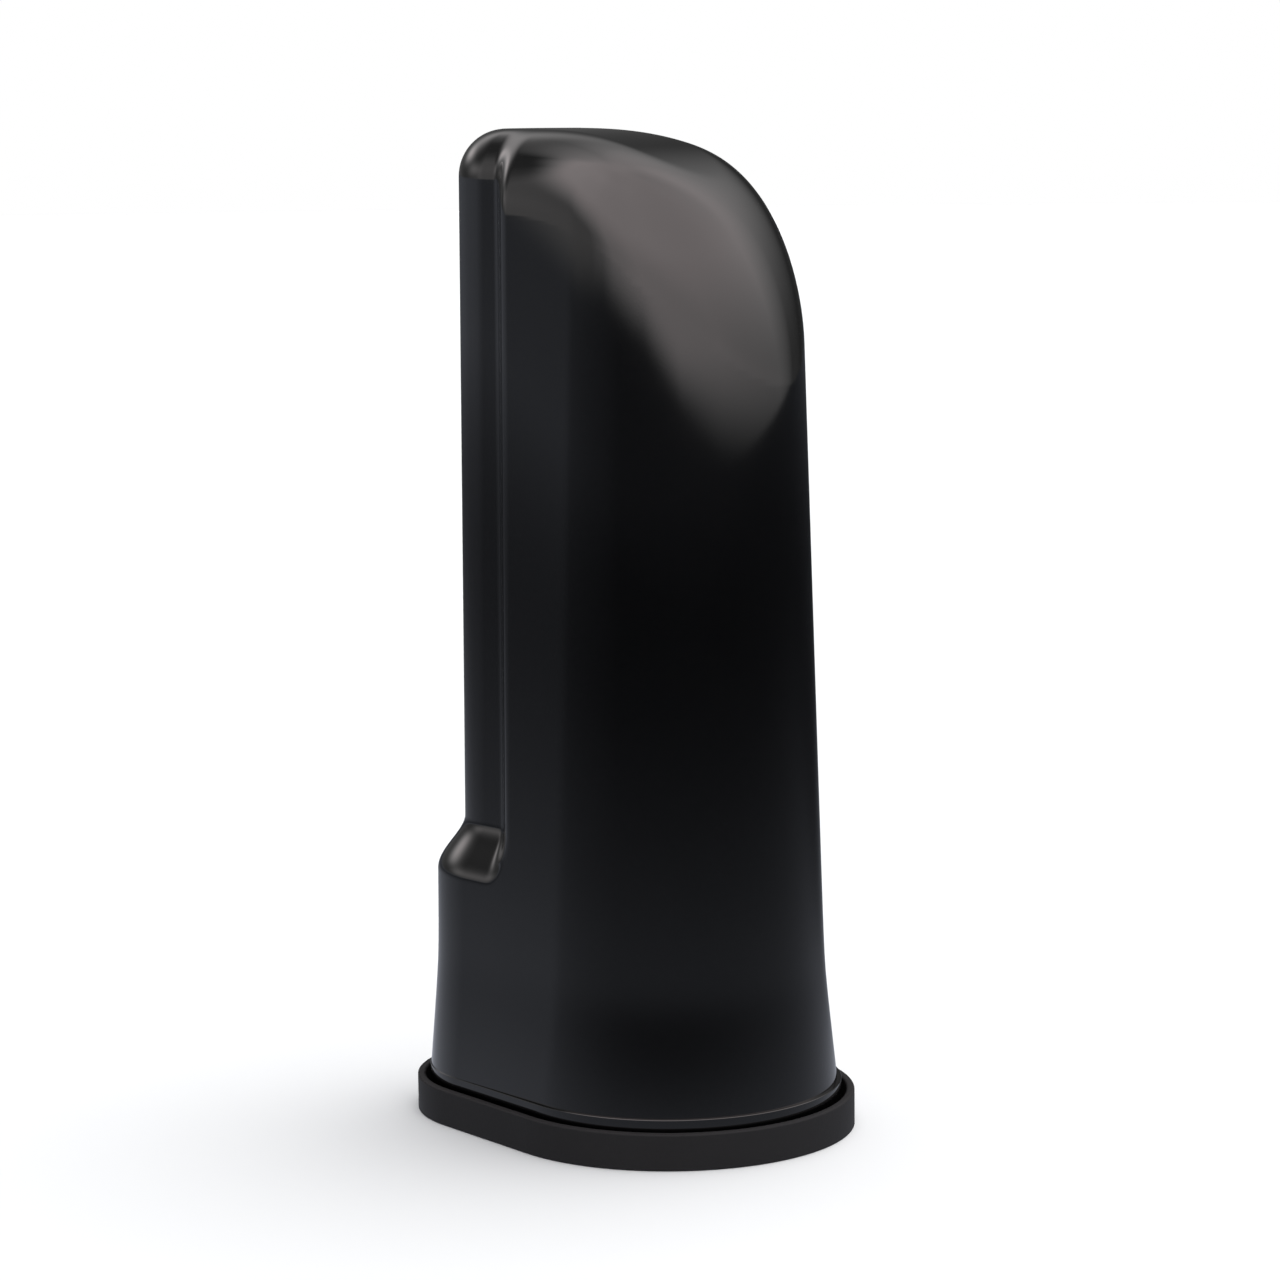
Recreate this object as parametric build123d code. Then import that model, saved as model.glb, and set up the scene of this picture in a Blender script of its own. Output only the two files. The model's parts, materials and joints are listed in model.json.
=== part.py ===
from build123d import *
import math
import os

# Tall directional antenna under one closed radome: a blunt round nose towards +X and a
# narrower recessed tail towards -X. It stands on a rubber mounting gasket at Z = 0 and is
# bolted down from below. Inside, a printed board carries two stacked Yagi bays.

# ---- overall size -------------------------------------------------------------------
HEIGHT = 200.0
LENGTH = 94.0
NOSE_R = 37.0  # plan radius of the gasket at the nose
TAIL_R = 27.5  # plan radius of the gasket at the tail
NOSE_X = LENGTH / 2 - NOSE_R
TAIL_X = TAIL_R - LENGTH / 2
SPAN = NOSE_X - TAIL_X
LEAN = math.asin((NOSE_R - TAIL_R) / SPAN)  # how far the straight sides turn from X

# ---- rubber gasket --------------------------------------------------------------------
PAD_TOP = 3.0
LIP_TOP = 7.3
LIP_WALL = 1.65

# ---- radome skin ----------------------------------------------------------------------
WALL = 2.5
FOOT_INSET = 2.65  # foot band, measured in from the gasket outline
FOOT_TOP = 9.4
NOSE_INSET = 5.1
NOSE_DRAFT = 0.0276
TAIL_INSET = 4.6
TAIL_DRAFT = 0.0065
FLARE_TOP = 32.0  # below this the wall leans out towards the foot
FLARE_SLOPE = 0.08
FLARE_SOFT = 5.0
RECESS_DEPTH = 5.66
RECESS_X = -11.7  # where the side steps in towards the tail
RECESS_WIDTH = 7.5
RECESS_Z = 50.0  # where the ledge under the tail begins
RECESS_RISE = 11.0
BROW_X = -18.0  # the top is flat behind this and falls away in front
BROW_DROP = 4.265e-4
BROW_POWER = 2.72
BROW_ROUND = 15.8
TAIL_ROUND = 9.4
BOSS_R = 3.5
BOSS_TOP = 26.0
BOSS_CAP = 4.0  # solid end above the screw hole
BOSS_HOLE_R = 1.25
WEB_REACH = 9.0
WEB_HALF = 1.5  # half the thickness of the web that ties a boss to the wall
WEB_INSET = 5.6  # the webs end inside the wall here
RAIL_HALF = 7.0  # half the length of the sockets that hold the foam pads
RAIL_OUT = 5.0
RAIL_FOOT = 187.0
RAIL_TOP = 198.0
CORE_X = TAIL_X  # every section is star-shaped about this line

# ---- base plate and what passes through it ----------------------------------------------
SLIP = 0.2  # gap between the plate and the foot of the radome
PLATE_INSET = FOOT_INSET + WALL + SLIP
PLATE_TOP = 8.5
SEAL_DEPTH = 1.5
SEAL_Z = 4.8
SEAL_HEIGHT = 2.2
WELL_R = 16.0
WELL_WALL = 2.0
WELL_ROOF = 18.0  # underside of the roof that holds the connector
ROOF = 3.0
SHELF = WELL_ROOF + ROOF
INSERT_XY = [(28, 12), (-28, 12), (-28, -12), (28, -12)]
INSERT_R = 3.3
INSERT_TOP = 12.0
INSERT_GROOVE = (3.0, 6.2, 8.0)  # radius, bottom and top of the groove the plastic grips
INSERT_POST_R = 4.8
INSERT_POST_TOP = 14.0
BOLT_R = 2.5  # M5 hole in each insert
BOLT_TOP = 11.0
GASKET_HOLE_R = 3.0
CONNECTOR_HOLE_R = 8.1
SCREW_XY = [(36.8, 0), (23.5, 23.3), (-10, 21.6), (-36.9, 0), (-10, -21.6), (23.5, -23.3)]
BASE_SCREW = (1.25, 17.0, 2.9, 2.4, 1.3)  # shank radius, length, head radius and height, drive
BASE_SCREW_HOLE_R = 1.7
BASE_SCREW_SINK_R = 3.1
FOOT_SCREW_X = 27.0
FOOT_SCREW_Y = 3.2
FOOT_SCREW_XY = [
    (FOOT_SCREW_X, FOOT_SCREW_Y),
    (-FOOT_SCREW_X, FOOT_SCREW_Y),
    (-FOOT_SCREW_X, -FOOT_SCREW_Y),
    (FOOT_SCREW_X, -FOOT_SCREW_Y),
]
FOOT_SCREW = (0.9, 12.0, 1.9, 1.8, 0.9)
FOOT_SCREW_HOLE_R = 1.2
FOOT_SCREW_SINK_R = 2.1
DRIVE_DEPTH = 0.55  # depth of the hexagon socket as a share of the head
VENT_XY = (10, -24)
VENT_R = 3.0
VENT_CAP_R = 4.2
VENT_TOP = 10.2
VENT_BORE_R = 1.5
VENT_BORE_TOP = 9.0
VENT_HOLE_R = 2.0  # in the gasket

# ---- coax connector in the well -----------------------------------------------------------
THREAD_R = 7.94  # 5/8 inch thread, drawn plain
THREAD_FOOT = 3.6
THREAD_STOP = 13.5  # a relief groove ends the part of the thread that a plug screws onto
GROOVE_R = 7.5
NUT_Z = 14.0
NUT_TOP = 17.0
HEX_R = 11.0
FLANGE_TOP = SHELF + 3.0
FACE_SEAL = (8.4, 9.2, 0.8)  # inner radius, outer radius and depth of the flange groove
MOUTH_R = 6.6
MOUTH_TOP = 8.6
WASHER_GAP = 0.8  # half the split in the spring washer
CORE_R = 4.4  # insulator
CORE_FOOT = 10.0
PIN_R = 1.5
PIN_TOP = 26.0
PIN_BORE_R = 0.85
PIN_BORE_TOP = 15.0
PIN_SLOT = 0.15  # half the width of the slot in the contact
PIN_SLOT_TOP = 13.0
STEM_R = 4.5
STEM_TOP = 29.0
FERRULE_R = 2.0
FERRULE_TOP = 32.0

# ---- board ------------------------------------------------------------------------------
BOARD_T = 1.6
BOARD_TAIL = -32.0
BOARD_NOSE = 32.0
BOARD_FOOT = 16.0
BOARD_TOP = 188.0
BOARD_BROW = ((8.0, BOARD_TOP), (24.0, 178.0), (BOARD_NOSE, 160.0))  # the rounded top corner
ARCH_NOSE = ((20.0, 36.0), (16.0, 43.0), (9.0, 46.0))  # the cut-out over the connector
ARCH_TAIL = ((-9.0, 46.0), (-15.0, 43.0), (-18.0, 36.0))
COPPER = 0.2
PAD_X = (-22.0, -6.0)  # foam pads on the top edge of the board
PAD_HALF = 6.0
PAD_OUT = 3.2
PAD_FOOT = 181.0
PAD_END = 196.2
BAYS = (74.0, 146.0)
REFLECTOR_X = -25.0
DIPOLE_X = -7.0
DIRECTORS = ((9.0, 43.0), (24.0, 40.0))  # position and length
REFLECTOR_L = 58.0
ARM_L = 24.0
TRUNK_X = -15.5
STRIP_W = 3.0
FEED_W = 2.5
TAP_L = 7.5  # the widened stub of the line that the coax lies on
TAP_W = 4.0

# ---- brackets that stand the board on the plate -------------------------------------------
BRACKET_X = (23.0, 31.0)
BRACKET_OUT = 5.0
BRACKET_TOP = 24.0
BRACKET_SLOT = 0.85
BRACKET_SLOT_FOOT = 15.8
BRACKET_HOLE_R = 0.9
BRACKET_HOLE_TOP = 15.5
CROSS_X = 27.0  # the bolts through both brackets and the board
CROSS_Z = 19.0
CROSS_R = 1.25
CROSS_HOLE_R = 1.3
CROSS_TAIL = 2.6  # how far the bolts stick out on the nut's side
CROSS_HEAD_R = 2.3
CROSS_HEAD_H = 1.6
CROSS_DRIVE_R = 1.2
CROSS_NUT_R = 2.9
CROSS_NUT_H = 2.0

# ---- coax inside ------------------------------------------------------------------------
COAX_R = 1.25
COAX_Y = -BOARD_T / 2 - COPPER - COAX_R - 0.1
COAX_X = -29.5
COAX_RUN_Z = 44.0
FEED_Z = (BAYS[0] + BAYS[1]) / 2
COAX_END = TRUNK_X - 4.5
COAX_BENDS = (12.0, 12.0, 12.0, 9.0)
CLIP_Z = (60.0, 78.0, 96.0)
CLIP_HALF = 2.4
CLIP_TALL = 2.0
WIRE_R = 0.35  # inner conductor
WIRE_X = TRUNK_X - 2.0  # where the inner conductor goes through the board
WIRE_GAP = 0.15  # round the wire in the board
WIRE_CLEAR_R = 1.1  # hole in the front line that keeps it off the wire
WIRE_BEND = 0.9
WIRE_END = 1.1  # how far the wire sticks out of the copper at the back
BRAID_FROM = 2.6  # the braid's solder, measured back from the end of the coax
BRAID_TO = 0.4
BRAID_OUT = 1.7
BRAID_HALF = 1.9
BEAD_R = 1.2
BEAD_H = 0.8


def hull(inset, z0, z1):
    """The two-circle plan outline, moved in by inset and raised from z0 to z1."""
    nose = NOSE_R - inset
    tail = TAIL_R - inset
    s, c = math.sin(LEAN), math.cos(LEAN)
    a = (TAIL_X - tail * s, tail * c)
    b = (NOSE_X - nose * s, nose * c)
    with BuildSketch(Plane.XY.offset(z0)) as plan:
        with BuildLine():
            Line(a, b)
            ThreePointArc(b, (NOSE_X + nose, 0), (b[0], -b[1]))
            Line((b[0], -b[1]), (a[0], -a[1]))
            ThreePointArc((a[0], -a[1]), (TAIL_X - tail, 0), a)
        make_face()
    return extrude(plan.sketch, z1 - z0)


def post(xy, r, z0, z1):
    """A round post or cutter from z0 to z1."""
    return Pos(xy[0], xy[1], (z0 + z1) / 2) * Cylinder(r, z1 - z0)


def block(x0, x1, y0, y1, z0, z1):
    """A box given by its limits."""
    middle = Pos((x0 + x1) / 2, (y0 + y1) / 2, (z0 + z1) / 2)
    return middle * Box(x1 - x0, y1 - y0, z1 - z0)


def ease(t):
    """A smooth step from 0 to 1."""
    t = min(max(t, 0.0), 1.0)
    return t * t * (3 - 2 * t)


def skin_field(x, y, z):
    """Zero on the outside of the radome, negative inside, in about a millimetre's scale."""
    below = FLARE_TOP - z
    flare = FLARE_SLOPE * (math.hypot(below, FLARE_SOFT) + below) / 2
    tail = TAIL_R - TAIL_INSET - TAIL_DRAFT * z + flare
    nose = NOSE_R - NOSE_INSET - NOSE_DRAFT * z + flare
    lean = math.asin((nose - tail) / SPAN)
    px, py = x - TAIL_X, abs(y)
    along = px * math.cos(lean) + py * math.sin(lean)
    if along < 0:
        side = math.hypot(px, py) - tail
    elif along > SPAN * math.cos(lean):
        side = math.hypot(px - SPAN, py) - nose
    else:
        side = math.cos(lean) * py - math.sin(lean) * px - tail

    u = min(max((RECESS_X - x) / RECESS_WIDTH, 0.0), 1.0)
    v = min(max((z - RECESS_Z) / RECESS_RISE, 0.0), 1.0)
    step = ease(1 - math.hypot(1 - u, 1 - v))
    side += RECESS_DEPTH * step

    reach = max(x - BROW_X, 0.0)
    brow = HEIGHT - BROW_DROP * reach ** BROW_POWER
    slope = BROW_DROP * BROW_POWER * reach ** (BROW_POWER - 1)
    top = (z - brow) / math.hypot(1, slope)

    k = BROW_ROUND + (TAIL_ROUND - BROW_ROUND) * step
    corner = math.hypot(max(k + side, 0.0), max(k + top, 0.0))
    return min(-k, max(side, top)) + corner


def skin_point(angle, z, depth):
    """The point on the skin, or depth inside it, in one direction from the core line."""
    near, far = 0.0, 62.0
    c, s = math.cos(angle), math.sin(angle)
    for _ in range(40):
        mid = (near + far) / 2
        if skin_field(CORE_X + mid * c, mid * s, z) > -depth:
            far = mid
        else:
            near = mid
    return Vector(CORE_X + near * c, near * s, z)


def levels(bottom, top):
    """Heights of the sections, closer together round the ledge and over the top."""
    ledge = RECESS_Z + RECESS_RISE / 2
    low = [bottom + (ledge - 8 - bottom) * i / 12 for i in range(12)]
    step = [ledge - 8 + 16 * i / 16 for i in range(16)]
    tall = [ledge + 8 + (top - 26 - ledge) * i / 20 for i in range(20)]
    crown = [top - 18 * (1 - math.sin(math.pi * i / 36)) for i in range(19)]
    return low + step + tall + crown


def skin_solid(bottom, top, depth):
    """The closed shape of the radome skin at one depth, from two mirrored halves."""
    angles = [math.pi * i / 72 for i in range(73)]
    rows = []
    for z in levels(bottom, top):
        here = min(z, top - 0.04)
        row = [skin_point(a, here, depth) for a in angles]
        rows.append([Vector(p.X, p.Y, z) for p in row])
    for row in rows:
        row[0] = Vector(row[0].X, 0, row[0].Z)
        row[-1] = Vector(row[-1].X, 0, row[-1].Z)
    half = Face.make_surface_from_array_of_points(rows, tol=0.02)
    other = half.mirror(Plane.XZ)
    rims = []
    for z in (bottom, top):
        edges = [e for f in (half, other) for e in f.edges() if abs(e.center().Z - z) < 0.01]
        rims.append(Face(Wire(edges)))
    return Solid(Shell([half, other] + rims))


def save(name, part):
    """Writes one node."""
    shapes = list(part.solids())
    out = shapes[0] if len(shapes) == 1 else Compound(children=shapes)
    out.label = name
    export_step(out, f"parts/{name}.step")
    print(name, len(shapes), round(sum(s.volume for s in shapes), 1))


os.makedirs("parts", exist_ok=True)

# ---- radome -----------------------------------------------------------------------------
outer = skin_solid(FOOT_TOP - 0.6, HEIGHT, 0.0)
outer += hull(FOOT_INSET, PAD_TOP, FOOT_TOP)
inner = skin_solid(PLATE_TOP - 0.3, HEIGHT - WALL, WALL)
inner += hull(FOOT_INSET + WALL, PAD_TOP - 1, PLATE_TOP)
radome = outer - inner
bosses = Part()
for x, y in SCREW_XY:
    away = math.degrees(math.atan2(y, x - CORE_X))
    bosses += post((x, y), BOSS_R, PLATE_TOP, BOSS_TOP)
    web = block(0, WEB_REACH, -WEB_HALF, WEB_HALF, PLATE_TOP, BOSS_TOP)
    bosses += Pos(x, y, 0) * Rot(0, 0, away) * web
bosses &= hull(WEB_INSET, PLATE_TOP, BOSS_TOP)
for xy in SCREW_XY:
    bosses -= post(xy, BOSS_HOLE_R, PLATE_TOP, BOSS_TOP - BOSS_CAP)
for x in PAD_X:
    rail = block(x - RAIL_HALF, x + RAIL_HALF, -RAIL_OUT, RAIL_OUT, RAIL_FOOT, RAIL_TOP)
    rail -= block(x - RAIL_HALF, x + RAIL_HALF, -PAD_OUT, PAD_OUT, PAD_FOOT, HEIGHT)
    bosses += rail
radome += bosses
save("radome", radome)

# ---- gasket -----------------------------------------------------------------------------
gasket = hull(0, 0, LIP_TOP) - hull(LIP_WALL, PAD_TOP, LIP_TOP + 1)
gasket = fillet(gasket.edges().filter_by_position(Axis.Z, LIP_TOP - 0.01, LIP_TOP + 0.01), 0.5)
gasket -= post((0, 0), WELL_R, -1, PAD_TOP + 1)
gasket -= post(VENT_XY, VENT_HOLE_R, -1, PAD_TOP + 1)
for xy in INSERT_XY:
    gasket -= post(xy, GASKET_HOLE_R, -1, PAD_TOP + 1)
save("mounting_gasket", gasket)

# ---- base plate -------------------------------------------------------------------------
plate = hull(PLATE_INSET, PAD_TOP, PLATE_TOP)
seal_top = SEAL_Z + SEAL_HEIGHT
plate -= hull(PLATE_INSET, SEAL_Z, seal_top) - hull(PLATE_INSET + SEAL_DEPTH, SEAL_Z, seal_top)
plate += post((0, 0), WELL_R + WELL_WALL, PAD_TOP, SHELF)
plate -= post((0, 0), WELL_R, PAD_TOP - 1, WELL_ROOF)
plate -= post((0, 0), CONNECTOR_HOLE_R, WELL_ROOF - 1, SHELF + 1)
for xy in INSERT_XY:
    plate += post(xy, INSERT_POST_R, PAD_TOP, INSERT_POST_TOP)
    plate -= post(xy, INSERT_R, PAD_TOP - 1, INSERT_TOP)
for xy in SCREW_XY:
    plate -= post(xy, BASE_SCREW_HOLE_R, PAD_TOP - 1, PLATE_TOP + 1)
    plate -= post(xy, BASE_SCREW_SINK_R, PAD_TOP - 1, PAD_TOP + BASE_SCREW[3])
for xy in FOOT_SCREW_XY:
    plate -= post(xy, FOOT_SCREW_HOLE_R, PAD_TOP - 1, PLATE_TOP + 1)
    plate -= post(xy, FOOT_SCREW_SINK_R, PAD_TOP - 1, PAD_TOP + FOOT_SCREW[3])
plate -= post(VENT_XY, VENT_R, PAD_TOP - 1, PLATE_TOP + 1)
save("base_plate", plate)

seal = hull(FOOT_INSET + WALL, SEAL_Z, seal_top) - hull(PLATE_INSET + SEAL_DEPTH, SEAL_Z, seal_top)
seal = fillet(seal.edges().filter_by(GeomType.LINE, reverse=True), 0.5)
save("base_seal", seal)


def screw(xy, shank_r, length, head_r, head_h, socket_r):
    """A screw driven upwards, its head flush with the underside of the plate."""
    head = post(xy, head_r, PAD_TOP, PAD_TOP + head_h)
    shank = post(xy, shank_r, PAD_TOP + head_h, PAD_TOP + length)
    socket = RegularPolygon(socket_r, 6)
    drive = Pos(xy[0], xy[1], PAD_TOP) * extrude(socket, head_h * DRIVE_DEPTH)
    return head + shank - drive


save("base_screws", Compound(children=[screw(xy, *BASE_SCREW) for xy in SCREW_XY]))
save("foot_screws", Compound(children=[screw(xy, *FOOT_SCREW) for xy in FOOT_SCREW_XY]))

inserts = []
for xy in INSERT_XY:
    body = post(xy, INSERT_R, PAD_TOP, INSERT_TOP)
    grip_r, grip_foot, grip_top = INSERT_GROOVE
    body -= post(xy, INSERT_R + 0.1, grip_foot, grip_top) - post(xy, grip_r, grip_foot, grip_top)
    inserts.append(body - post(xy, BOLT_R, PAD_TOP - 1, BOLT_TOP))
save("mounting_inserts", Compound(children=inserts))

vent = post(VENT_XY, VENT_R, PAD_TOP + 0.8, PLATE_TOP)
vent += post(VENT_XY, VENT_CAP_R, PLATE_TOP, VENT_TOP)
vent = fillet(vent.edges().sort_by(Axis.Z)[-1], 0.6)
vent -= post(VENT_XY, VENT_BORE_R, PAD_TOP, VENT_BORE_TOP)
save("vent_plug", vent)

# ---- connector --------------------------------------------------------------------------
centre = (0, 0)
hexagon = RegularPolygon(HEX_R, 6)
seal_in, seal_out, seal_deep = FACE_SEAL
jack = post(centre, THREAD_R, THREAD_FOOT, SHELF)
jack += Pos(0, 0, SHELF) * extrude(hexagon, FLANGE_TOP - SHELF)
jack += post(centre, STEM_R, FLANGE_TOP, STEM_TOP)
jack = chamfer(jack.edges().group_by(Axis.Z)[0], 0.4)
jack -= post(centre, THREAD_R + 1, THREAD_STOP, NUT_Z) - post(centre, GROOVE_R, 0, SHELF)
jack -= post(centre, MOUTH_R, 0, MOUTH_TOP)
jack -= post(centre, CORE_R, MOUTH_TOP, FLANGE_TOP)
jack -= post(centre, FERRULE_R, FLANGE_TOP, STEM_TOP + 1)
ring = post(centre, seal_out, SHELF, SHELF + seal_deep) - post(centre, seal_in, 0, FLANGE_TOP)
jack -= ring
save("connector_body", jack)

nut = Pos(0, 0, NUT_Z) * extrude(hexagon, NUT_TOP - NUT_Z)
nut = chamfer(nut.edges().group_by(Axis.Z)[0].filter_by(GeomType.LINE), 0.3)
nut -= post(centre, THREAD_R, 0, SHELF)
save("connector_nut", nut)
washer = post(centre, HEX_R, NUT_TOP, WELL_ROOF) - post(centre, THREAD_R, 0, SHELF)
washer -= block(0, HEX_R + 1, -WASHER_GAP, WASHER_GAP, NUT_TOP - 1, WELL_ROOF + 1)
save("connector_washer", washer)

save("connector_seal", ring)
ptfe = post(centre, CORE_R, CORE_FOOT, FLANGE_TOP) - post(centre, PIN_R, 0, FLANGE_TOP + 1)
save("connector_insulator", ptfe)
contact = post(centre, PIN_R, MOUTH_TOP, PIN_TOP) - post(centre, PIN_BORE_R, 0, PIN_BORE_TOP)
contact -= block(-PIN_SLOT, PIN_SLOT, -PIN_R - 1, PIN_R + 1, 0, PIN_SLOT_TOP)
save("connector_contact", contact)

# ---- board ------------------------------------------------------------------------------
with BuildSketch(Plane.XZ) as outline:
    with BuildLine():
        Polyline(
            (ARCH_TAIL[2][0], BOARD_FOOT),
            (BOARD_TAIL, BOARD_FOOT),
            (BOARD_TAIL, BOARD_TOP),
            BOARD_BROW[0],
        )
        ThreePointArc(*BOARD_BROW)
        Polyline(
            BOARD_BROW[2],
            (BOARD_NOSE, BOARD_FOOT),
            (ARCH_NOSE[0][0], BOARD_FOOT),
            ARCH_NOSE[0],
        )
        ThreePointArc(*ARCH_NOSE)
        Line(ARCH_NOSE[2], ARCH_TAIL[0])
        ThreePointArc(*ARCH_TAIL)
        Line(ARCH_TAIL[2], (ARCH_TAIL[2][0], BOARD_FOOT))
    make_face()
board = extrude(outline.sketch, BOARD_T / 2, both=True)
for x in (-CROSS_X, CROSS_X):
    board -= Pos(x, 0, CROSS_Z) * Rot(90, 0, 0) * Cylinder(CROSS_HOLE_R, 10)
through = Pos(WIRE_X, 0, FEED_Z) * Rot(90, 0, 0)
board -= through * Cylinder(WIRE_R + WIRE_GAP, 10)
save("yagi_board", board)

front = -BOARD_T / 2


def strip(x, z, width, length, side=-1):
    """A copper strip standing up the board, centred at x and z."""
    y0, y1 = sorted((side * BOARD_T / 2, side * (BOARD_T / 2 + COPPER)))
    return block(x - width / 2, x + width / 2, y0, y1, z - length / 2, z + length / 2)


reflectors = [strip(REFLECTOR_X, z, STRIP_W, REFLECTOR_L) for z in BAYS]
save("reflector_strips", Compound(children=reflectors))
directors = [strip(x, z, STRIP_W, long) for z in BAYS for x, long in DIRECTORS]
save("director_strips", Compound(children=directors))
arms = []
for z in BAYS:
    rise = FEED_W / 2 + ARM_L / 2
    arms.append(strip(DIPOLE_X, z + rise, STRIP_W, ARM_L, -1))
    arms.append(strip(DIPOLE_X, z - rise, STRIP_W, ARM_L, 1))
save("driven_dipoles", Compound(children=arms))

lines = []
for side in (-1, 1):
    line = strip(TRUNK_X, FEED_Z, FEED_W, BAYS[1] - BAYS[0] + FEED_W, side)
    reach = DIPOLE_X + STRIP_W / 2 - TRUNK_X
    for z in BAYS:
        line += strip(TRUNK_X + reach / 2, z, reach, FEED_W, side)
    line += strip(TRUNK_X - TAP_L / 2, FEED_Z, TAP_L, TAP_W, side)
    line -= through * Cylinder(WIRE_CLEAR_R if side < 0 else WIRE_R + 0.1, 10)
    lines.append(line.solid())
save("feed_lines", Compound(children=lines))

brackets = []
for side in (-1, 1):
    x0, x1 = sorted((side * BRACKET_X[0], side * BRACKET_X[1]))
    arm = block(x0, x1, -BRACKET_OUT, BRACKET_OUT, PLATE_TOP, BRACKET_TOP)
    arm -= block(x0 - 1, x1 + 1, -BRACKET_SLOT, BRACKET_SLOT, BRACKET_SLOT_FOOT, BRACKET_TOP + 1)
    arm = chamfer(arm.edges().group_by(Axis.Z)[-1].filter_by(Axis.X).sort_by(Axis.Y)[0::3], 1.5)
    arm -= Pos(side * CROSS_X, 0, CROSS_Z) * Rot(90, 0, 0) * Cylinder(CROSS_HOLE_R, 20)
    for y in (-FOOT_SCREW_Y, FOOT_SCREW_Y):
        arm -= post((side * FOOT_SCREW_X, y), BRACKET_HOLE_R, PLATE_TOP - 1, BRACKET_HOLE_TOP)
    brackets.append(arm)
save("board_brackets", Compound(children=[b.solid() for b in brackets]))

bolts, nuts = [], []
head_y = -BRACKET_OUT - CROSS_HEAD_H
for x in (-CROSS_X, CROSS_X):
    lying = Rot(90, 0, 0)
    shank = Pos(x, CROSS_TAIL / 2, CROSS_Z) * lying * Cylinder(CROSS_R, 2 * BRACKET_OUT + CROSS_TAIL)
    cap = Pos(x, head_y + CROSS_HEAD_H / 2, CROSS_Z) * lying * Cylinder(CROSS_HEAD_R, CROSS_HEAD_H)
    socket = extrude(RegularPolygon(CROSS_DRIVE_R, 6), CROSS_HEAD_H / 2, both=True)
    drive = Pos(x, head_y, CROSS_Z) * lying * socket
    bolts.append(shank + fillet(cap.edges().sort_by(Axis.Y)[0], 0.6) - drive)
    hexa = extrude(RegularPolygon(CROSS_NUT_R, 6), CROSS_NUT_H)
    hexa = Pos(x, BRACKET_OUT, CROSS_Z) * Rot(-90, 0, 0) * hexa
    nuts.append(hexa - Pos(x, 0, CROSS_Z) * lying * Cylinder(CROSS_R, 30))
save("board_bolts", Compound(children=[b.solid() for b in bolts]))
save("board_nuts", Compound(children=[n.solid() for n in nuts]))

# ---- coax -------------------------------------------------------------------------------
with BuildLine() as run:
    FilletPolyline(
        (0, 0, PIN_TOP),
        (0, 0, COAX_RUN_Z),
        (-15, COAX_Y, COAX_RUN_Z),
        (COAX_X, COAX_Y, COAX_RUN_Z),
        (COAX_X, COAX_Y, FEED_Z),
        (COAX_END, COAX_Y, FEED_Z),
        radius=COAX_BENDS,
    )
path = Wire(run.edges())
coax = sweep(Plane(path @ 0, z_dir=path % 0) * Circle(COAX_R), path)
save("feed_coax", coax)
section = math.pi * COAX_R**2
print("coax length", path.length)
print("volume over section times length", coax.volume / section / path.length)

# The inner conductor crosses the front line without touching it and is soldered at the back.
rear = BOARD_T / 2 + COPPER
with BuildLine() as run:
    FilletPolyline(
        (COAX_END, COAX_Y, FEED_Z),
        (WIRE_X, COAX_Y, FEED_Z),
        (WIRE_X, rear + WIRE_END, FEED_Z),
        radius=WIRE_BEND,
    )
lead = Wire(run.edges())
wire = sweep(Plane(lead @ 0, z_dir=lead % 0) * Circle(WIRE_R), lead)
save("coax_core", wire)

bed = front - COPPER
braid = block(
    COAX_END - BRAID_FROM,
    COAX_END - BRAID_TO,
    COAX_Y - BRAID_OUT,
    bed,
    FEED_Z - BRAID_HALF,
    FEED_Z + BRAID_HALF,
)
braid = fillet(braid.edges().filter_by(Axis.X).group_by(Axis.Y)[0], 1.4)
bead = Pos(WIRE_X, rear + BEAD_H / 2, FEED_Z) * Rot(-90, 0, 0) * Cone(BEAD_R, WIRE_R + 0.2, BEAD_H)
joints = [braid - coax, bead - wire]
save("solder_joints", Compound(children=[j.solid() for j in joints]))

ferrule = post(centre, FERRULE_R, PIN_TOP, FERRULE_TOP) - post(centre, COAX_R, 0, COAX_RUN_Z)
save("cable_ferrule", ferrule)

clips = []
for z in CLIP_Z:
    left, right = COAX_X - CLIP_HALF, COAX_X + CLIP_HALF
    clip = block(left, right, COAX_Y - CLIP_HALF, front, z - CLIP_TALL, z + CLIP_TALL)
    clip = fillet(clip.edges().filter_by(Axis.Z).group_by(Axis.Y)[0], 2.0)
    bore = post((COAX_X, COAX_Y), COAX_R, z - CLIP_TALL - 1, z + CLIP_TALL + 1)
    clips.append((clip - bore).solid())
save("cable_clips", Compound(children=clips))

# ---- foam pads between the board and the roof ---------------------------------------------
pads = []
for x in PAD_X:
    pad = block(x - PAD_HALF, x + PAD_HALF, -PAD_OUT, PAD_OUT, PAD_FOOT, PAD_END)
    pad -= block(x - RAIL_HALF, x + RAIL_HALF, -BOARD_T / 2, BOARD_T / 2, PAD_FOOT - 1, BOARD_TOP)
    pads.append(pad.solid())
save("foam_pads", Compound(children=pads))
print("done")
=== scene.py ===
import json
import math

import bpy
import numpy as np
from mathutils import Matrix, Vector


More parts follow.
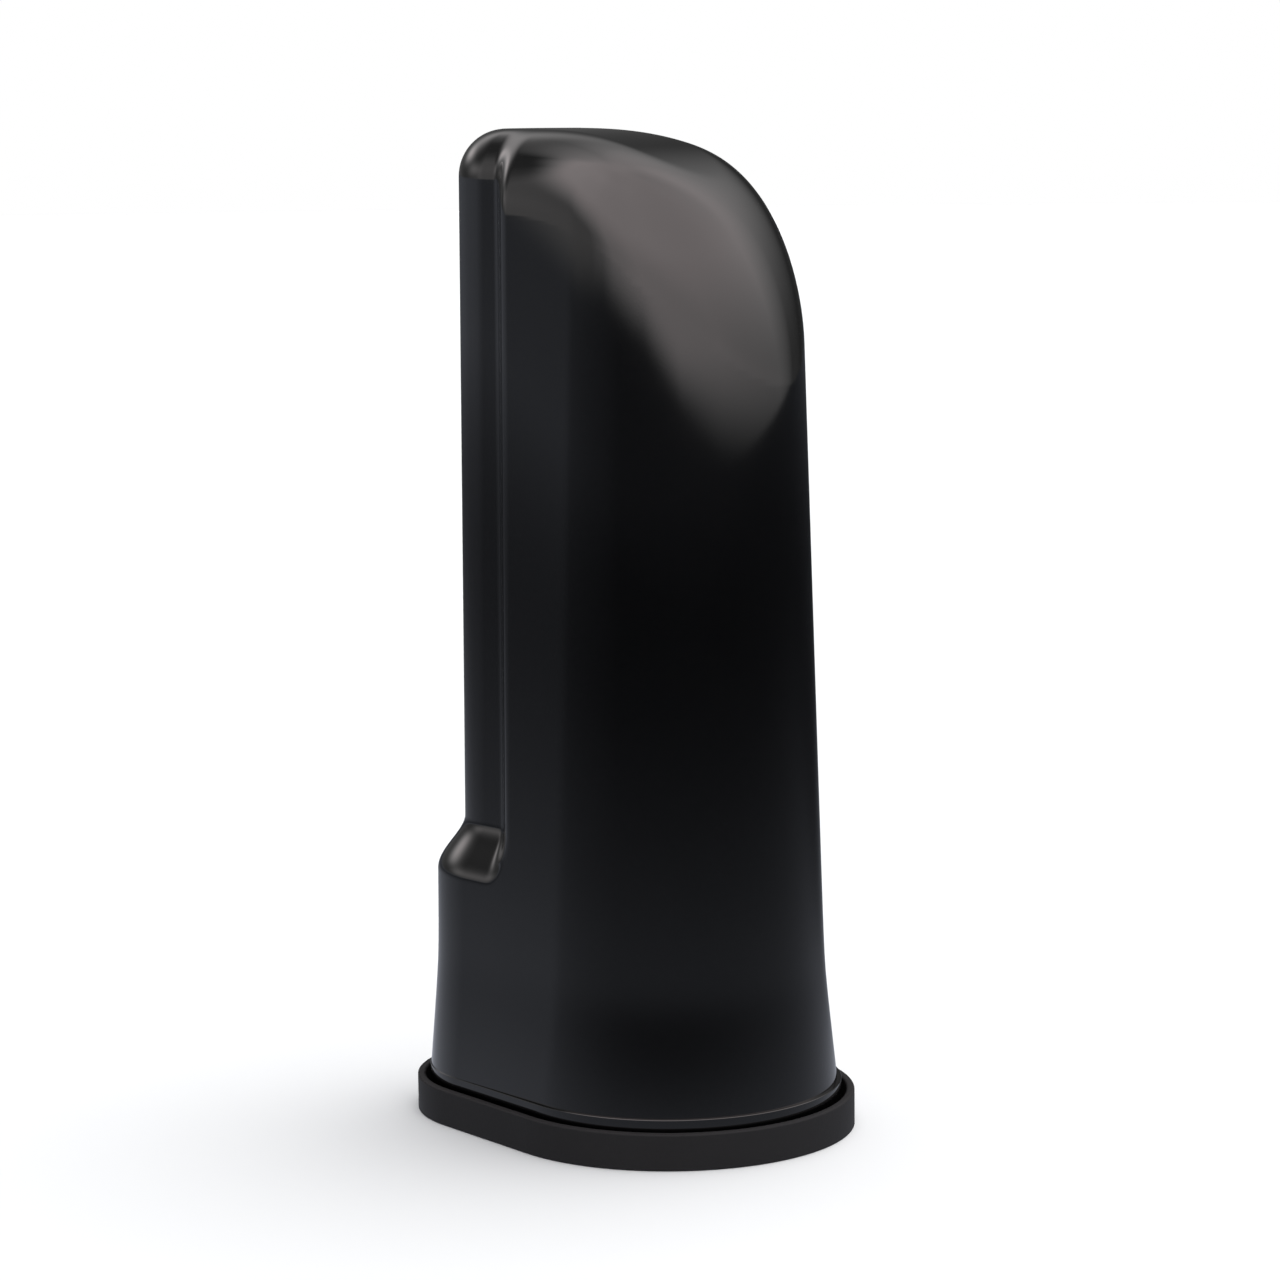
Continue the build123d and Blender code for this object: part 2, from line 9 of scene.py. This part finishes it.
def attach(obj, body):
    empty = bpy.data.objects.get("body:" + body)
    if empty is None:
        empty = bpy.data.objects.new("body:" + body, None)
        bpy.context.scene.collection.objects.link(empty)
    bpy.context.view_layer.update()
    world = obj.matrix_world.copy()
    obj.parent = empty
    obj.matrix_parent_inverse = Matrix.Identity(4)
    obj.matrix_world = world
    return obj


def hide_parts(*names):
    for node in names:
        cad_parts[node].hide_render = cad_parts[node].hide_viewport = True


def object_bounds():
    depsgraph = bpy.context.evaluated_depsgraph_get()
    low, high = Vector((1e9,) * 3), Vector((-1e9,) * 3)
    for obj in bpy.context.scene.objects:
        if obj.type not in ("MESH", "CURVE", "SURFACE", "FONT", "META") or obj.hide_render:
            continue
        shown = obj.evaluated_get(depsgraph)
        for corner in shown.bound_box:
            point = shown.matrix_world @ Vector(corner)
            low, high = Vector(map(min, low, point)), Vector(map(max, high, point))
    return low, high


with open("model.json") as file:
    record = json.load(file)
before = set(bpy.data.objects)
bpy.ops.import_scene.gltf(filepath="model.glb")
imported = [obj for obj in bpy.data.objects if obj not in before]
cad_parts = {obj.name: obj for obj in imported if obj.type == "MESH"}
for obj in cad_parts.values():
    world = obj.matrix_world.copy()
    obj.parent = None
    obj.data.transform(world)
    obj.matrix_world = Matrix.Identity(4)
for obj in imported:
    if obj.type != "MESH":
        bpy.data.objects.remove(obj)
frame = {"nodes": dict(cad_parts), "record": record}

cad_low, cad_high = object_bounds()
scene = bpy.context.scene
MM = 0.001

# ---- housing dimensions, in millimetres, as the solids have them ---------------------
HEIGHT = 200.0
NOSE_R, TAIL_R = 37.0, 27.5
NOSE_X, TAIL_X = 10.0, -19.5
SPAN = NOSE_X - TAIL_X
PAD_TOP = 3.0
PLATE_TOP = 8.5
WALL = 2.5
FOOT_INSET, FOOT_TOP = 2.65, 9.4
NOSE_INSET, NOSE_DRAFT = 5.1, 0.0276
TAIL_INSET, TAIL_DRAFT = 4.6, 0.0065
FLARE_TOP, FLARE_SLOPE, FLARE_SOFT = 32.0, 0.08, 5.0
RECESS_DEPTH = 5.66
RECESS_X, RECESS_WIDTH = -11.7, 7.5
RECESS_Z, RECESS_RISE = 50.0, 11.0
BROW_X, BROW_DROP, BROW_POWER = -18.0, 4.265e-4, 2.72
BROW_ROUND, TAIL_ROUND = 15.8, 9.4
CORE_X = TAIL_X  # every section is star-shaped about this line
LIP = 0.15  # rounding on the top edge of the foot band
RIM = 0.3  # bevel on the bottom rim
RIM_MIDDLE = 6.0

# ---- how the skin is divided into rings -----------------------------------------------
LEDGE_FROM, LEDGE_TO = 46.0, 66.0  # closer rings between these heights
CROWN = 26.0  # and over this depth from the top
LOW_RINGS, LEDGE_RINGS, TALL_RINGS, CROWN_RINGS = 26, 44, 60, 48
CAP_SCALES = (0.97, 0.9, 0.7, 0.4, 0.15)
FOOT_GAPS, SKIN_GAP = (0.02, 0.07), 0.2  # rings that keep the corner over the foot band crisp
INNER_GAP = 0.4  # the first inner ring over the plate's top
ROUND_STEPS = 6
FAR = 70.0  # further from the core line than any point of the skin
HALVINGS = 40
TOP_GAP = 0.02  # the ring at the top has the section from this far below it


def ease(t):
    """A smooth step from 0 to 1, for arrays."""
    t = np.clip(t, 0, 1)
    return t * t * (3 - 2 * t)


def hull_distance(x, y, tail, nose):
    """Signed distance to the outline round a tail circle and a nose circle."""
    lean = np.arcsin((nose - tail) / SPAN)
    px, py = x - TAIL_X, np.abs(y)
    along = px * np.cos(lean) + py * np.sin(lean)
    side = np.cos(lean) * py - np.sin(lean) * px - tail
    side = np.where(along < 0, np.hypot(px, py) - tail, side)
    return np.where(along > SPAN * np.cos(lean), np.hypot(px - SPAN, py) - nose, side)


def skin_field(x, y, z):
    """Zero on the outside of the housing and negative inside it."""
    below = FLARE_TOP - z
    flare = FLARE_SLOPE * (np.hypot(below, FLARE_SOFT) + below) / 2
    tail = TAIL_R - TAIL_INSET - TAIL_DRAFT * z + flare
    nose = NOSE_R - NOSE_INSET - NOSE_DRAFT * z + flare
    u = np.clip((RECESS_X - x) / RECESS_WIDTH, 0, 1)
    v = np.clip((z - RECESS_Z) / RECESS_RISE, 0, 1)
    step = ease(1 - np.hypot(1 - u, 1 - v))
    side = hull_distance(x, y, tail, nose) + RECESS_DEPTH * step
    reach = np.maximum(x - BROW_X, 0)
    brow = HEIGHT - BROW_DROP * reach**BROW_POWER
    slope = BROW_DROP * BROW_POWER * reach ** (BROW_POWER - 1)
    top = (z - brow) / np.hypot(1, slope)
    k = BROW_ROUND + (TAIL_ROUND - BROW_ROUND) * step
    corner = np.hypot(np.maximum(k + side, 0), np.maximum(k + top, 0))
    return np.minimum(-k, np.maximum(side, top)) + corner


ANGLES = np.linspace(0, 2 * math.pi, 361)[:-1]  # one point of each ring per degree


def ring(z, field):
    """One closed section of a field at height z, as points in millimetres."""
    c, s = np.cos(ANGLES), np.sin(ANGLES)
    near, far = np.zeros_like(ANGLES), np.full_like(ANGLES, FAR)
    for _ in range(HALVINGS):
        mid = (near + far) / 2
        out = field(CORE_X + mid * c, mid * s) > 0
        far, near = np.where(out, mid, far), np.where(out, near, mid)
    return np.stack([CORE_X + near * c, near * s, np.full_like(ANGLES, z)], 1)


def skin_ring(z, depth, top):
    """One section of the skin, or of the surface at one depth inside it."""
    here = min(z, top - TOP_GAP)
    return ring(z, lambda x, y: skin_field(x, y, here) + depth)


def hull_ring(z, inset):
    """The gasket's outline moved in by inset."""
    return ring(z, lambda x, y: hull_distance(x, y, TAIL_R - inset, NOSE_R - inset))


def skin_levels(bottom, top):
    """Heights of the rings, closer together at the ledge and towards the top."""
    low = np.linspace(bottom, LEDGE_FROM, LOW_RINGS)[:-1]
    ledge = np.linspace(LEDGE_FROM, LEDGE_TO, LEDGE_RINGS)[:-1]
    tall = np.linspace(LEDGE_TO, top - CROWN, TALL_RINGS)[:-1]
    crown = top - CROWN * (1 - np.sin(np.linspace(0, math.pi / 2, CROWN_RINGS)))
    return np.concatenate([low, ledge, tall, crown])


def cap_rings(last):
    """Shrinking copies of the last ring, to close a flat top."""
    middle = last.mean(0)
    return [middle + (last - middle) * f for f in CAP_SCALES]


def mesh_object(name, verts, faces, smooth_deg=None):
    """A smooth-shaded mesh in the scene, with sharp edges over a given angle."""
    mesh = bpy.data.meshes.new(name)
    mesh.from_pydata([tuple(v) for v in verts], [], faces)
    mesh.validate()
    mesh.update()
    obj = bpy.data.objects.new(name, mesh)
    scene.collection.objects.link(obj)
    mesh.polygons.foreach_set("use_smooth", [True] * len(mesh.polygons))
    if smooth_deg:
        mesh.set_sharp_from_angle(angle=math.radians(smooth_deg))
    return obj


def skin_of_rings(rings):
    """Quads between the rings, and a fan over each end."""
    n = len(ANGLES)
    verts = list(np.concatenate(rings) * MM)
    faces = []
    for i in range(len(rings) - 1):
        for j in range(n):
            k = (j + 1) % n
            faces.append((i * n + j, i * n + k, (i + 1) * n + k, (i + 1) * n + j))
    for base, order in ((0, -1), ((len(rings) - 1) * n, 1)):
        verts.append(sum(verts[base:base + n]) / n)
        centre = len(verts) - 1
        for j in range(n):
            k = (j + 1) % n
            tri = (base + j, base + k, centre)
            faces.append(tri[::order])
    return verts, faces


def build_radome():
    """The housing as one closed shell: inner roof, inner wall, rim, foot band and skin."""
    inner_top = HEIGHT - WALL
    rings = []
    inside = [skin_ring(z, WALL, inner_top) for z in skin_levels(PLATE_TOP + INNER_GAP, inner_top)[::2]]
    inside.append(skin_ring(inner_top, WALL, inner_top))
    rings += cap_rings(inside[-1])[::-1] + inside[::-1]
    foot_in = FOOT_INSET + WALL
    rim = [
        (foot_in, PLATE_TOP),
        (foot_in, RIM_MIDDLE),
        (foot_in, PAD_TOP + RIM),
        (foot_in - RIM, PAD_TOP),
        (FOOT_INSET + RIM, PAD_TOP),
        (FOOT_INSET, PAD_TOP + RIM),
        (FOOT_INSET, RIM_MIDDLE),
    ]
    rings += [hull_ring(z, inset) for inset, z in rim]
    for i in range(ROUND_STEPS + 1):
        a = math.pi / 2 * i / ROUND_STEPS
        rings.append(hull_ring(FOOT_TOP - LIP + LIP * math.sin(a), FOOT_INSET + LIP - LIP * math.cos(a)))
    heights = [FOOT_TOP + gap for gap in FOOT_GAPS] + list(skin_levels(FOOT_TOP + SKIN_GAP, HEIGHT))
    outside = [skin_ring(z, 0.0, HEIGHT) for z in heights]
    rings += outside + cap_rings(outside[-1])
    return mesh_object("radome_shell", *skin_of_rings(rings), smooth_deg=50)


radome = build_radome()
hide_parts("radome")
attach(radome, "root")


# ---- materials -------------------------------------------------------------------------
def new_material(name, colour, roughness, metallic=0.0, **sockets):
    """A Principled material with constant values set on its sockets."""
    mat = bpy.data.materials.new(name)
    mat.use_nodes = True
    bsdf = mat.node_tree.nodes["Principled BSDF"]
    bsdf.inputs["Base Color"].default_value = (*colour, 1)
    bsdf.inputs["Roughness"].default_value = roughness
    bsdf.inputs["Metallic"].default_value = metallic
    for key, value in sockets.items():
        bsdf.inputs[key.replace("_", " ")].default_value = value
    return mat, mat.node_tree, bsdf


BROAD = 30  # how much coarser the noise is that varies the roughness and the colour


def grain(tree, bsdf, scale, height, rough_mix, colour_mix):
    """Fine surface grain from noise in object space, with a broader one in roughness and colour."""
    nodes, links = tree.nodes, tree.links
    coord = nodes.new("ShaderNodeTexCoord")
    noise = nodes.new("ShaderNodeTexNoise")
    noise.inputs["Scale"].default_value = scale
    noise.inputs["Detail"].default_value = 3.0
    links.new(coord.outputs["Object"], noise.inputs["Vector"])
    bump = nodes.new("ShaderNodeBump")
    bump.inputs["Strength"].default_value = 1.0
    bump.inputs["Distance"].default_value = height
    links.new(noise.outputs["Fac"], bump.inputs["Height"])
    links.new(bump.outputs["Normal"], bsdf.inputs["Normal"])
    broad = nodes.new("ShaderNodeTexNoise")
    broad.inputs["Scale"].default_value = scale / BROAD
    broad.inputs["Detail"].default_value = 4.0
    links.new(coord.outputs["Object"], broad.inputs["Vector"])
    spread = nodes.new("ShaderNodeMapRange")
    spread.inputs["To Min"].default_value, spread.inputs["To Max"].default_value = rough_mix
    links.new(broad.outputs["Fac"], spread.inputs["Value"])
    links.new(spread.outputs["Result"], bsdf.inputs["Roughness"])
    ramp = nodes.new("ShaderNodeValToRGB")
    for stop, position, colour in zip(ramp.color_ramp.elements, (0.3, 0.7), colour_mix):
        stop.position = position
        stop.color = (*colour, 1)
    links.new(broad.outputs["Fac"], ramp.inputs["Fac"])
    links.new(ramp.outputs["Color"], bsdf.inputs["Base Color"])


materials = {}


def make(slot, colour, roughness, scale, height, metallic=0.0, spread=0.05, tint=0.12, **sockets):
    """The material of one slot: scale is the fineness of its grain and height its depth in metres."""
    mat, tree, bsdf = new_material(slot, colour, roughness, metallic, **sockets)
    dark = tuple(c * (1 - tint) for c in colour)
    light = tuple(c * (1 + tint) for c in colour)
    rough_mix = (roughness - spread, roughness + spread)
    grain(tree, bsdf, scale, height, rough_mix=rough_mix, colour_mix=(dark, light))
    materials[slot] = mat


make("radome_plastic", (0.0015, 0.0015, 0.0016), 0.04, 2600, 0.0000003, spread=0.008)
make(
    "gasket_rubber",
    (0.0085, 0.0087, 0.0095),
    0.65,
    1800,
    0.00003,
    spread=0.06,
    Specular_IOR_Level=0.15,
)
make("plate_plastic", (0.02, 0.02, 0.021), 0.5, 2200, 0.00002)
make("seal_rubber", (0.03, 0.03, 0.031), 0.6, 1500, 0.00002)
make("stainless", (0.6, 0.59, 0.57), 0.3, 3000, 0.000006, metallic=1.0, tint=0.05)
make("insert_brass", (0.72, 0.5, 0.2), 0.3, 2500, 0.000006, metallic=1.0, tint=0.08)
make("nickel", (0.66, 0.63, 0.57), 0.24, 2500, 0.000005, metallic=1.0, tint=0.04)
make("contact_gold", (0.86, 0.6, 0.2), 0.22, 2500, 0.000004, metallic=1.0, tint=0.04)
make("ptfe", (0.82, 0.82, 0.8), 0.4, 1500, 0.000008, tint=0.03)
make("board_laminate", (0.02, 0.11, 0.05), 0.32, 900, 0.00001, tint=0.2)
make("copper", (0.78, 0.36, 0.2), 0.32, 2500, 0.000006, metallic=1.0, tint=0.1)
make("coax_jacket", (0.2, 0.07, 0.025), 0.35, 1200, 0.000008, tint=0.1)
make("solder", (0.6, 0.6, 0.62), 0.28, 1500, 0.00002, metallic=1.0, tint=0.06)
make("nylon", (0.7, 0.68, 0.62), 0.42, 1500, 0.00001, tint=0.04)
make("vent_plastic", (0.03, 0.03, 0.032), 0.45, 2000, 0.00001)
make("foam", (0.04, 0.04, 0.043), 0.9, 1200, 0.00012, tint=0.3)

CAD_SHARP = math.radians(28)  # edges of the solids over this angle stay sharp

slot_of = {s["node"]: s["material_slot"] for s in frame["record"]["subparts"]}
for node, obj in frame["nodes"].items():
    obj.data.materials.clear()
    obj.data.materials.append(materials[slot_of[node]])
    obj.data.polygons.foreach_set("use_smooth", [True] * len(obj.data.polygons))
    obj.data.set_sharp_from_angle(angle=CAD_SHARP)
radome.data.materials.append(materials["radome_plastic"])

# ---- camera ------------------------------------------------------------------------------
AZIMUTH = math.radians(33.14)
DISTANCE, CAMERA_Z = 0.7776, 0.208
CENTRE_X = -0.00475  # the camera circles this line
AIM_RIGHT, AIM_UP, ROLL = -0.00878, 0.00304, math.radians(-0.60)
SENSOR, LENS = 36.0, 109.580625
eye = Vector((DISTANCE * math.sin(AZIMUTH) + CENTRE_X, -DISTANCE * math.cos(AZIMUTH), CAMERA_Z))
towards = (Vector((CENTRE_X, 0, HEIGHT / 2 * MM)) - eye).normalized()
right = towards.cross(Vector((0, 0, 1))).normalized()
up = right.cross(towards)
towards = (towards - AIM_RIGHT * right - AIM_UP * up).normalized()
right = towards.cross(Vector((0, 0, 1))).normalized()
up = right.cross(towards)
tilted_right = math.cos(ROLL) * right + math.sin(ROLL) * up
tilted_up = -math.sin(ROLL) * right + math.cos(ROLL) * up
camera = bpy.data.objects.new("camera", bpy.data.cameras.new("camera"))
scene.collection.objects.link(camera)
basis = Matrix((tilted_right, tilted_up, -towards)).transposed().to_4x4()
camera.matrix_world = Matrix.Translation(eye) @ basis
camera.data.sensor_width = SENSOR
camera.data.lens = LENS
camera.data.clip_start, camera.data.clip_end = 0.01, 50
scene.camera = camera

# ---- floor and light ----------------------------------------------------------------------
FLOOR_R, FLOOR_SIDES = 6.0, 96
FLOOR_DROP = 0.0001  # the floor lies just under the gasket
verts = [(0, 0, 0)]
for i in range(FLOOR_SIDES):
    a = 2 * math.pi * i / FLOOR_SIDES
    verts.append((FLOOR_R * math.cos(a), FLOOR_R * math.sin(a), 0))
faces = [(0, 1 + i, 1 + (i + 1) % FLOOR_SIDES) for i in range(FLOOR_SIDES)]
floor = mesh_object("floor", verts, faces)
floor.location.z = cad_low.z - FLOOR_DROP
mat, tree, bsdf = new_material("floor", (0.86, 0.86, 0.86), 0.9, Specular_IOR_Level=0.1)
pale = ((0.85, 0.85, 0.85), (0.87, 0.87, 0.87))
grain(tree, bsdf, 40, 0.0001, rough_mix=(0.85, 0.95), colour_mix=pale)
floor.data.materials.append(mat)
floor.visible_glossy = False


def sun(name, towards_light, power, spread):
    """A broad white light from one side; the gloss doesn't show it."""
    data = bpy.data.lights.new(name, "SUN")
    data.energy, data.angle = power, math.radians(spread)
    lamp = bpy.data.objects.new(name, data)
    scene.collection.objects.link(lamp)
    lamp.rotation_mode = "QUATERNION"
    lamp.rotation_quaternion = Vector(towards_light).to_track_quat("Z", "Y")
    lamp.visible_glossy = False


sun("ceiling", (0.2, 0.3, 1.0), 3.4, 90)

# A studio dome far outside the camera's view, seen only in the gloss. Each row gives, for one
# compass turn (0 towards +X, -90 towards -Y), the height of its lower edge in degrees, how bright
# it is there, between which heights it brightens, and how bright it is overhead.
DOME_R = 20.0
DOME = (
    (-180, 0.2, 0.15, 50, 64, 3.0),
    (-165, 0.2, 0.20, 46, 58, 3.2),
    (-157, 0.2, 0.40, 40, 54, 3.3),
    (-150, 0.1, 0.85, 32, 51, 3.4),
    (-135, 0.0, 0.80, 14, 47, 3.5),
    (-120, 0.2, 0.85, 5, 46, 3.6),
    (-110, 0.4, 1.40, 3, 46, 3.6),
    (-100, 0.3, 2.20, 0, 45, 3.5),
    (-75, 0.0, 2.65, 0, 35, 3.4),
    (-45, -0.95, 2.45, 0, 35, 3.4),
    (-12, -1.55, 2.25, 0, 35, 3.2),
    (30, -2.4, 1.40, 0, 35, 2.9),
    (50, -2.8, 0.95, 0, 32, 2.6),
    (70, -3.0, 0.17, 0, 60, 2.7),
    (90, -3.0, 0.05, 0, 85, 2.7),
    (110, -1.0, 0.05, 15, 85, 2.6),
    (140, 0.0, 0.15, 36, 85, 2.5),
    (165, 0.0, 0.15, 42, 76, 2.8),
    (180, 0.2, 0.15, 50, 64, 3.0),
)
ZENITH = 3.1  # the one level straight overhead
ZENITH_FROM, ZENITH_OVER = 70, 18  # it takes over from this height, within so many degrees
# Half the width of the dome's lower edge in degrees.
EDGE_SOFT = ((-180, 0.5), (-48, 0.5), (-14, 0.95), (40, 0.95), (70, 0.5), (180, 0.5))
# How bright the room is just below the dome's edge.
WALLS = (
    (-180, 0.35),
    (-168, 0.45),
    (-158, 0.5),
    (-147, 0.38),
    (-140, 0.25),
    (-125, 0.20),
    (-110, 0.16),
    (-95, 0.10),
    (100, 0.08),
    (140, 0.1),
    (180, 0.35),
)
# Soft panels on the dome: turn, height, half widths across and up, brightness.
PANELS = ((-164, 11, 14, 9, 0.95), (150, 33, 24, 9, 1.0), (165, 21, 13, 7, 2.0))
TABLE_R, TABLE_GLOW, TABLE_FADE = 3.0, 0.6, 0.3  # radius, brightness and fading distance
TABLE_TURNS, TABLE_RINGS = 73, 60
DIM_TURN, DIM_WIDTH, DIM_SHARE = 85, 25, 0.6  # the glow fades sooner on this side
WALLS_NEAR, WALLS_FROM = 0.35, 0.8  # share of the walls' light on the table inside this radius
WARM, COOL = (1.0, 0.9, 0.9), (0.84, 0.88, 1.0)
WARM_FROM = 3  # the dome is fully warm where it is this bright


def dome_light(turn, tilt):
    """Brightness above and below the dome's edge, for arrays of turn and tilt in degrees."""
    edge, low, start, stop, high = (
        np.interp(turn, [row[0] for row in DOME], [row[i] for row in DOME]) for i in range(1, 6)
    )
    above = low + (high - low) * ease((tilt - start) / (stop - start))
    above += (ZENITH - above) * ease((tilt - ZENITH_FROM) / ZENITH_OVER)
    for panel_turn, panel_tilt, across, up, glow in PANELS:
        aside = (turn - panel_turn + 180) % 360 - 180
        above += glow * np.exp(-((aside / across) ** 2) - ((tilt - panel_tilt) / up) ** 2)
    soft = np.interp(turn, [row[0] for row in EDGE_SOFT], [row[1] for row in EDGE_SOFT])
    inside = ease((tilt - edge + soft) / (2 * soft))
    walls = np.interp(turn, [row[0] for row in WALLS], [row[1] for row in WALLS])
    return above * inside, walls * (1 - inside)


def glow_object(name, points, faces, glow):
    """A surface that only the gloss sees, with its own brightness at every point."""
    obj = mesh_object(name, points, faces)
    rgba = np.concatenate([glow, np.ones_like(glow[..., :1])], -1)
    layer = obj.data.attributes.new("glow", "FLOAT_COLOR", "POINT")
    layer.data.foreach_set("color", rgba.reshape(-1).tolist())
    mat = bpy.data.materials.new(name)
    mat.use_nodes = True
    tree = mat.node_tree
    tree.nodes.clear()
    attribute = tree.nodes.new("ShaderNodeAttribute")
    attribute.attribute_name = "glow"
    emit = tree.nodes.new("ShaderNodeEmission")
    end = tree.nodes.new("ShaderNodeOutputMaterial")
    tree.links.new(attribute.outputs["Color"], emit.inputs["Color"])
    tree.links.new(emit.outputs["Emission"], end.inputs["Surface"])
    obj.data.materials.append(mat)
    obj.visible_camera = obj.visible_diffuse = obj.visible_shadow = False
    return obj


def grid_faces(rows, columns):
    """Quads of a grid of points, numbered row by row."""
    faces = []
    for i in range(rows - 1):
        for j in range(columns - 1):
            k = i * columns + j
            faces.append((k, k + columns, k + columns + 1, k + 1))
    return faces


def build_dome():
    """The dome, with its points closest together round its lower edge."""
    turns = np.linspace(-180, 180, 181)
    under, edge, over = np.linspace(-89, -12, 20), np.linspace(-11, 7, 181), np.linspace(8, 90, 83)
    tilts = np.concatenate([under, edge, over])
    turn, tilt = np.meshgrid(turns, tilts, indexing="ij")
    a, b = np.radians(turn), np.radians(tilt)
    points = DOME_R * np.stack([np.cos(b) * np.cos(a), np.cos(b) * np.sin(a), np.sin(b)], -1)
    above, below = dome_light(turn, tilt)
    warmth = np.clip(above / WARM_FROM, 0, 1)[..., None]
    glow = above[..., None] * (1 + warmth * (np.array(WARM) - 1))
    glow += below[..., None] * np.array(COOL)
    dome = glow_object("dome", points.reshape(-1, 3), grid_faces(len(turns), len(tilts)), glow)
    dome.location.z = HEIGHT / 2 * MM


def build_table():
    """The table top as the gloss sees it: pale round the object and dark further out."""
    radii = TABLE_R * np.linspace(0, 1, TABLE_RINGS) ** 3
    turn, radius = np.meshgrid(np.linspace(-180, 180, TABLE_TURNS), radii, indexing="ij")
    a = np.radians(turn)
    points = np.stack([radius * np.cos(a), radius * np.sin(a), np.zeros_like(a)], -1)
    fade = TABLE_FADE * (1 - DIM_SHARE * np.exp(-(((turn - DIM_TURN) / DIM_WIDTH) ** 2)))
    walls = np.interp(turn, [row[0] for row in WALLS], [row[1] for row in WALLS])
    outward = ease((radius - WALLS_FROM) / (TABLE_R - WALLS_FROM))
    glow = TABLE_GLOW * np.exp(-radius / fade)
    glow += walls * (WALLS_NEAR + (1 - WALLS_NEAR) * outward)
    tinted = glow[..., None] * np.array(COOL)
    faces = grid_faces(TABLE_TURNS, TABLE_RINGS)
    table = glow_object("table_glow", points.reshape(-1, 3), faces, tinted)
    table.location.z = cad_low.z - FLOOR_DROP / 2


build_table()
build_dome()

# The camera sees plain white round the floor, and the matt surfaces a pale grey room.
world = bpy.data.worlds.new("studio")
scene.world = world
world.use_nodes = True
nodes, links = world.node_tree.nodes, world.node_tree.links
nodes.clear()
room = nodes.new("ShaderNodeBackground")
room.inputs["Color"].default_value = (0.25, 0.26, 0.28, 1)
white = nodes.new("ShaderNodeBackground")
white.inputs["Color"].default_value = (1, 1, 1, 1)
path = nodes.new("ShaderNodeLightPath")
mix = nodes.new("ShaderNodeMixShader")
out = nodes.new("ShaderNodeOutputWorld")
links.new(path.outputs["Is Camera Ray"], mix.inputs["Fac"])
links.new(room.outputs["Background"], mix.inputs[1])
links.new(white.outputs["Background"], mix.inputs[2])
links.new(mix.outputs["Shader"], out.inputs["Surface"])
scene.view_settings.view_transform = "Standard"
